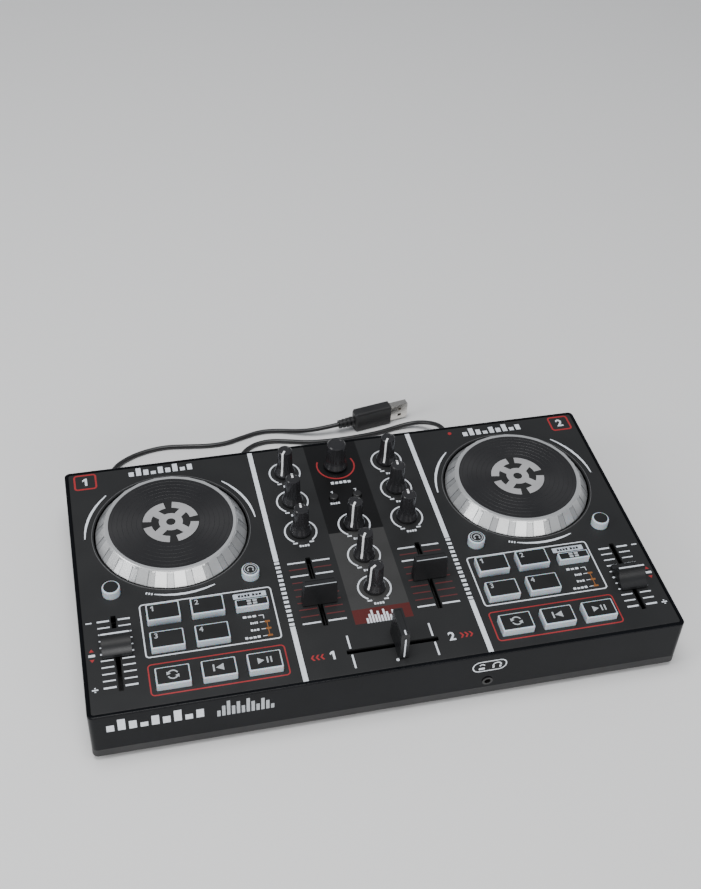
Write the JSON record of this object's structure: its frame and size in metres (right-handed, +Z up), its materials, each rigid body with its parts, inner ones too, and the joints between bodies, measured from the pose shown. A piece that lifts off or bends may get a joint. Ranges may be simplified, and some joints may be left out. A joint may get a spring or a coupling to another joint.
{
  "type": "dj controller",
  "caption": "Tabletop DJ controller with jog wheels, pads, rotary knobs, sliding faders, a push encoder and a captive USB lead.",
  "frame": {"origin": "middle of the footprint at the underside of the rubber feet, sockets included and cord left out", "axes": "+X to the player's right, +Y away from the player, +Z up"},
  "size_m": [0.328, 0.241, 0.056],
  "materials": {
    "case_black": "satin",
    "base_black": "matte",
    "plate_charcoal": "satin",
    "foot_rubber": "matte",
    "screw_steel": "satin",
    "board_green": "satin",
    "control_metal": "satin",
    "fader_black": "satin",
    "bushing_brass": "satin",
    "jog_silver": "metallic paint",
    "disc_black": "fine grooves",
    "knob_black": "gloss",
    "cap_black": "gloss",
    "pad_clear": "translucent",
    "button_black": "satin",
    "jack_black": "gloss",
    "socket_metal": "satin",
    "lens_white": "frosted",
    "cord_black": "satin",
    "plug_black": "satin",
    "plug_metal": "satin"
  },
  "bodies": {
    "controller": {"top_case": "case_black", "bottom_case": "base_black", "faceplate": "plate_charcoal", "rubber_feet": "foot_rubber", "screws": "screw_steel", "circuit_boards": "board_green", "rotary_controls": "control_metal", "fader_bodies": "fader_black", "jog_bushings": "bushing_brass", "headphone_jack": "jack_black", "rca_jacks": "socket_metal", "light_lenses": "lens_white", "cable_strain_relief": "cord_black", "cable_lead": "cord_black", "cable_hank": "cord_black", "cable_tail": "cord_black", "usb_plug_grip": "plug_black", "usb_plug_shell": "plug_metal"},
    "jog_left": {"jog_wheel_left": "jog_silver", "jog_disc_left": "disc_black"},
    "jog_right": {"jog_wheel_right": "jog_silver", "jog_disc_right": "disc_black"},
    "gain_knob_left": {"gain_knob_left": "knob_black"},
    "treble_knob_left": {"treble_knob_left": "knob_black"},
    "bass_knob_left": {"bass_knob_left": "knob_black"},
    "gain_knob_right": {"gain_knob_right": "knob_black"},
    "treble_knob_right": {"treble_knob_right": "knob_black"},
    "bass_knob_right": {"bass_knob_right": "knob_black"},
    "master_knob": {"master_knob": "knob_black"},
    "cue_mix_knob": {"cue_mix_knob": "knob_black"},
    "cue_gain_knob": {"cue_gain_knob": "knob_black"},
    "pitch_fader_cap_left": {"pitch_fader_cap_left": "cap_black"},
    "pitch_fader_cap_right": {"pitch_fader_cap_right": "cap_black"},
    "channel_fader_cap_left": {"channel_fader_cap_left": "cap_black"},
    "channel_fader_cap_right": {"channel_fader_cap_right": "cap_black"},
    "crossfader_cap": {"crossfader_cap": "cap_black"},
    "pad_left_1": {"pad_left_1": "pad_clear"},
    "pad_left_2": {"pad_left_2": "pad_clear"},
    "pad_left_3": {"pad_left_3": "pad_clear"},
    "pad_left_4": {"pad_left_4": "pad_clear"},
    "pad_right_1": {"pad_right_1": "pad_clear"},
    "pad_right_2": {"pad_right_2": "pad_clear"},
    "pad_right_3": {"pad_right_3": "pad_clear"},
    "pad_right_4": {"pad_right_4": "pad_clear"},
    "pad_mode_button_left": {"pad_mode_button_left": "pad_clear"},
    "sync_button_left": {"sync_button_left": "pad_clear"},
    "cue_button_left": {"cue_button_left": "pad_clear"},
    "play_button_left": {"play_button_left": "pad_clear"},
    "scratch_button_left": {"scratch_button_left": "pad_clear"},
    "headphone_button_left": {"headphone_button_left": "pad_clear"},
    "load_button_left": {"load_button_left": "button_black"},
    "pad_mode_button_right": {"pad_mode_button_right": "pad_clear"},
    "sync_button_right": {"sync_button_right": "pad_clear"},
    "cue_button_right": {"cue_button_right": "pad_clear"},
    "play_button_right": {"play_button_right": "pad_clear"},
    "scratch_button_right": {"scratch_button_right": "pad_clear"},
    "headphone_button_right": {"headphone_button_right": "pad_clear"},
    "load_button_right": {"load_button_right": "button_black"},
    "browse_shaft": {"browse_shaft": "control_metal"},
    "browse_knob": {"browse_knob": "knob_black"}
  },
  "joints": [
    {"name": "jog_left_turn", "type": "hinge", "parent": "controller", "child": "jog_left", "pos_m": [-0.106, 0.0288, 0.0365], "axis": [0, 0, 1], "continuous": true},
    {"name": "jog_right_turn", "type": "hinge", "parent": "controller", "child": "jog_right", "pos_m": [0.106, 0.0288, 0.0365], "axis": [0, 0, 1], "continuous": true},
    {"name": "gain_knob_left_turn", "type": "hinge", "parent": "controller", "child": "gain_knob_left", "pos_m": [-0.0322, 0.064, 0.0365], "axis": [0, 0, -1], "range_deg": [0, 300]},
    {"name": "treble_knob_left_turn", "type": "hinge", "parent": "controller", "child": "treble_knob_left", "pos_m": [-0.0322, 0.0391, 0.0365], "axis": [0, 0, -1], "range_deg": [-150, 150]},
    {"name": "bass_knob_left_turn", "type": "hinge", "parent": "controller", "child": "bass_knob_left", "pos_m": [-0.0322, 0.0138, 0.0365], "axis": [0, 0, -1], "range_deg": [-150, 150]},
    {"name": "gain_knob_right_turn", "type": "hinge", "parent": "controller", "child": "gain_knob_right", "pos_m": [0.0322, 0.064, 0.0365], "axis": [0, 0, -1], "range_deg": [0, 300]},
    {"name": "treble_knob_right_turn", "type": "hinge", "parent": "controller", "child": "treble_knob_right", "pos_m": [0.0322, 0.0391, 0.0365], "axis": [0, 0, -1], "range_deg": [-150, 150]},
    {"name": "bass_knob_right_turn", "type": "hinge", "parent": "controller", "child": "bass_knob_right", "pos_m": [0.0322, 0.0138, 0.0365], "axis": [0, 0, -1], "range_deg": [-150, 150]},
    {"name": "master_knob_turn", "type": "hinge", "parent": "controller", "child": "master_knob", "pos_m": [0, 0.0138, 0.0365], "axis": [0, 0, -1], "range_deg": [0, 300]},
    {"name": "cue_mix_knob_turn", "type": "hinge", "parent": "controller", "child": "cue_mix_knob", "pos_m": [0, -0.0114, 0.0365], "axis": [0, 0, -1], "range_deg": [0, 300]},
    {"name": "cue_gain_knob_turn", "type": "hinge", "parent": "controller", "child": "cue_gain_knob", "pos_m": [0, -0.0366, 0.0365], "axis": [0, 0, -1], "range_deg": [-22, 278]},
    {"name": "pitch_fader_cap_left_slide", "type": "slide", "parent": "controller", "child": "pitch_fader_cap_left", "axis": [0, 1, 0], "range_m": [-0.02785, 0.01695]},
    {"name": "pitch_fader_cap_right_slide", "type": "slide", "parent": "controller", "child": "pitch_fader_cap_right", "axis": [0, 1, 0], "range_m": [-0.02045, 0.02435]},
    {"name": "channel_fader_cap_left_slide", "type": "slide", "parent": "controller", "child": "channel_fader_cap_left", "axis": [0, 1, 0], "range_m": [-0.01455, 0.03025]},
    {"name": "channel_fader_cap_right_slide", "type": "slide", "parent": "controller", "child": "channel_fader_cap_right", "axis": [0, 1, 0], "range_m": [-0.02115, 0.02365]},
    {"name": "crossfader_cap_slide", "type": "slide", "parent": "controller", "child": "crossfader_cap", "axis": [1, 0, 0], "range_m": [-0.026, 0.0188]},
    {"name": "pad_left_1_press", "type": "slide", "parent": "controller", "child": "pad_left_1", "axis": [0, 0, -1], "range_m": [0, 0.0012], "stiffness_N_per_m": 600, "springref_m": -0.0006},
    {"name": "pad_left_2_press", "type": "slide", "parent": "controller", "child": "pad_left_2", "axis": [0, 0, -1], "range_m": [0, 0.0012], "stiffness_N_per_m": 600, "springref_m": -0.0006},
    {"name": "pad_left_3_press", "type": "slide", "parent": "controller", "child": "pad_left_3", "axis": [0, 0, -1], "range_m": [0, 0.0012], "stiffness_N_per_m": 600, "springref_m": -0.0006},
    {"name": "pad_left_4_press", "type": "slide", "parent": "controller", "child": "pad_left_4", "axis": [0, 0, -1], "range_m": [0, 0.0012], "stiffness_N_per_m": 600, "springref_m": -0.0006},
    {"name": "pad_right_1_press", "type": "slide", "parent": "controller", "child": "pad_right_1", "axis": [0, 0, -1], "range_m": [0, 0.0012], "stiffness_N_per_m": 600, "springref_m": -0.0006},
    {"name": "pad_right_2_press", "type": "slide", "parent": "controller", "child": "pad_right_2", "axis": [0, 0, -1], "range_m": [0, 0.0012], "stiffness_N_per_m": 600, "springref_m": -0.0006},
    {"name": "pad_right_3_press", "type": "slide", "parent": "controller", "child": "pad_right_3", "axis": [0, 0, -1], "range_m": [0, 0.0012], "stiffness_N_per_m": 600, "springref_m": -0.0006},
    {"name": "pad_right_4_press", "type": "slide", "parent": "controller", "child": "pad_right_4", "axis": [0, 0, -1], "range_m": [0, 0.0012], "stiffness_N_per_m": 600, "springref_m": -0.0006},
    {"name": "pad_mode_button_left_press", "type": "slide", "parent": "controller", "child": "pad_mode_button_left", "axis": [0, 0, -1], "range_m": [0, 0.0012], "stiffness_N_per_m": 600, "springref_m": -0.0006},
    {"name": "sync_button_left_press", "type": "slide", "parent": "controller", "child": "sync_button_left", "axis": [0, 0, -1], "range_m": [0, 0.0012], "stiffness_N_per_m": 600, "springref_m": -0.0006},
    {"name": "cue_button_left_press", "type": "slide", "parent": "controller", "child": "cue_button_left", "axis": [0, 0, -1], "range_m": [0, 0.0012], "stiffness_N_per_m": 600, "springref_m": -0.0006},
    {"name": "play_button_left_press", "type": "slide", "parent": "controller", "child": "play_button_left", "axis": [0, 0, -1], "range_m": [0, 0.0012], "stiffness_N_per_m": 600, "springref_m": -0.0006},
    {"name": "scratch_button_left_press", "type": "slide", "parent": "controller", "child": "scratch_button_left", "axis": [0, 0, -1], "range_m": [0, 0.0012], "stiffness_N_per_m": 600, "springref_m": -0.0006},
    {"name": "headphone_button_left_press", "type": "slide", "parent": "controller", "child": "headphone_button_left", "axis": [0, 0, -1], "range_m": [0, 0.0012], "stiffness_N_per_m": 600, "springref_m": -0.0006},
    {"name": "load_button_left_press", "type": "slide", "parent": "controller", "child": "load_button_left", "axis": [0, 0, -1], "range_m": [0, 0.0012], "stiffness_N_per_m": 600, "springref_m": -0.0006},
    {"name": "pad_mode_button_right_press", "type": "slide", "parent": "controller", "child": "pad_mode_button_right", "axis": [0, 0, -1], "range_m": [0, 0.0012], "stiffness_N_per_m": 600, "springref_m": -0.0006},
    {"name": "sync_button_right_press", "type": "slide", "parent": "controller", "child": "sync_button_right", "axis": [0, 0, -1], "range_m": [0, 0.0012], "stiffness_N_per_m": 600, "springref_m": -0.0006},
    {"name": "cue_button_right_press", "type": "slide", "parent": "controller", "child": "cue_button_right", "axis": [0, 0, -1], "range_m": [0, 0.0012], "stiffness_N_per_m": 600, "springref_m": -0.0006},
    {"name": "play_button_right_press", "type": "slide", "parent": "controller", "child": "play_button_right", "axis": [0, 0, -1], "range_m": [0, 0.0012], "stiffness_N_per_m": 600, "springref_m": -0.0006},
    {"name": "scratch_button_right_press", "type": "slide", "parent": "controller", "child": "scratch_button_right", "axis": [0, 0, -1], "range_m": [0, 0.0012], "stiffness_N_per_m": 600, "springref_m": -0.0006},
    {"name": "headphone_button_right_press", "type": "slide", "parent": "controller", "child": "headphone_button_right", "axis": [0, 0, -1], "range_m": [0, 0.0012], "stiffness_N_per_m": 600, "springref_m": -0.0006},
    {"name": "load_button_right_press", "type": "slide", "parent": "controller", "child": "load_button_right", "axis": [0, 0, -1], "range_m": [0, 0.0012], "stiffness_N_per_m": 600, "springref_m": -0.0006},
    {"name": "browse_push", "type": "slide", "parent": "controller", "child": "browse_shaft", "axis": [0, 0, -1], "range_m": [0, 0.0007], "stiffness_N_per_m": 1500, "springref_m": -0.0006},
    {"name": "browse_turn", "type": "hinge", "parent": "browse_shaft", "child": "browse_knob", "pos_m": [0, 0.0651, 0.0365], "axis": [0, 0, -1], "continuous": true}
  ]
}
